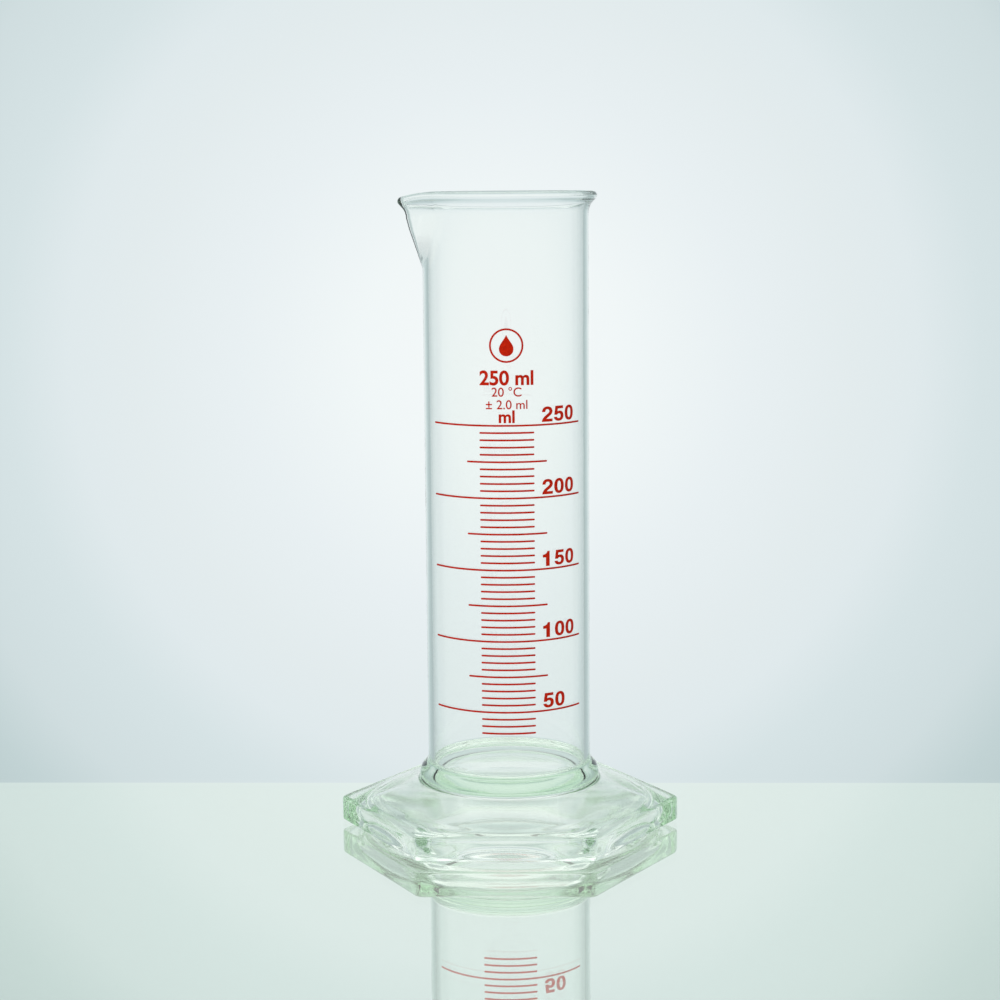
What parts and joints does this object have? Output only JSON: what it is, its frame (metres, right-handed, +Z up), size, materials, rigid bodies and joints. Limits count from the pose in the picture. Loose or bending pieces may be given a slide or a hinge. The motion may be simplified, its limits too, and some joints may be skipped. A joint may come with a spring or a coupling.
{
  "type": "graduated cylinder",
  "caption": "Low-form clear glass measuring cylinder with a pouring spout, beaded rim, hexagonal foot and a red enamel volume scale.",
  "frame": {"origin": "centre of the contact ring under the foot, on the surface it stands on", "axes": "+Z up along the tube's axis; the spout points to -X; the scale faces -Y; two corners of the six-sided foot lie on the X axis"},
  "size_m": [0.1154, 0.1006, 0.215],
  "materials": {
    "clear_glass": "clear glass: the tube drawn and fire-polished, the foot pressed with softly rounded edges; pale green where it is thick",
    "red_enamel": "opaque fired red-orange enamel print, satin"
  },
  "bodies": {
    "root": {"measuring_tube": "clear_glass", "hexagonal_foot": "clear_glass", "line_035_ml": "red_enamel", "line_040_ml": "red_enamel", "line_045_ml": "red_enamel", "line_050_ml": "red_enamel", "line_055_ml": "red_enamel", "line_060_ml": "red_enamel", "line_065_ml": "red_enamel", "line_070_ml": "red_enamel", "line_075_ml": "red_enamel", "line_080_ml": "red_enamel", "line_085_ml": "red_enamel", "line_090_ml": "red_enamel", "line_095_ml": "red_enamel", "line_100_ml": "red_enamel", "line_105_ml": "red_enamel", "line_110_ml": "red_enamel", "line_115_ml": "red_enamel", "line_120_ml": "red_enamel", "line_125_ml": "red_enamel", "line_130_ml": "red_enamel", "line_135_ml": "red_enamel", "line_140_ml": "red_enamel", "line_145_ml": "red_enamel", "line_150_ml": "red_enamel", "line_155_ml": "red_enamel", "line_160_ml": "red_enamel", "line_165_ml": "red_enamel", "line_170_ml": "red_enamel", "line_175_ml": "red_enamel", "line_180_ml": "red_enamel", "line_185_ml": "red_enamel", "line_190_ml": "red_enamel", "line_195_ml": "red_enamel", "line_200_ml": "red_enamel", "line_205_ml": "red_enamel", "line_210_ml": "red_enamel", "line_215_ml": "red_enamel", "line_220_ml": "red_enamel", "line_225_ml": "red_enamel", "line_230_ml": "red_enamel", "line_235_ml": "red_enamel", "line_240_ml": "red_enamel", "line_245_ml": "red_enamel", "line_250_ml": "red_enamel", "numeral_50_digit1": "red_enamel", "numeral_50_digit2": "red_enamel", "numeral_100_digit1": "red_enamel", "numeral_100_digit2": "red_enamel", "numeral_100_digit3": "red_enamel", "numeral_150_digit1": "red_enamel", "numeral_150_digit2": "red_enamel", "numeral_150_digit3": "red_enamel", "numeral_200_digit1": "red_enamel", "numeral_200_digit2": "red_enamel", "numeral_200_digit3": "red_enamel", "numeral_250_digit1": "red_enamel", "numeral_250_digit2": "red_enamel", "numeral_250_digit3": "red_enamel"}
  },
  "joints": []
}
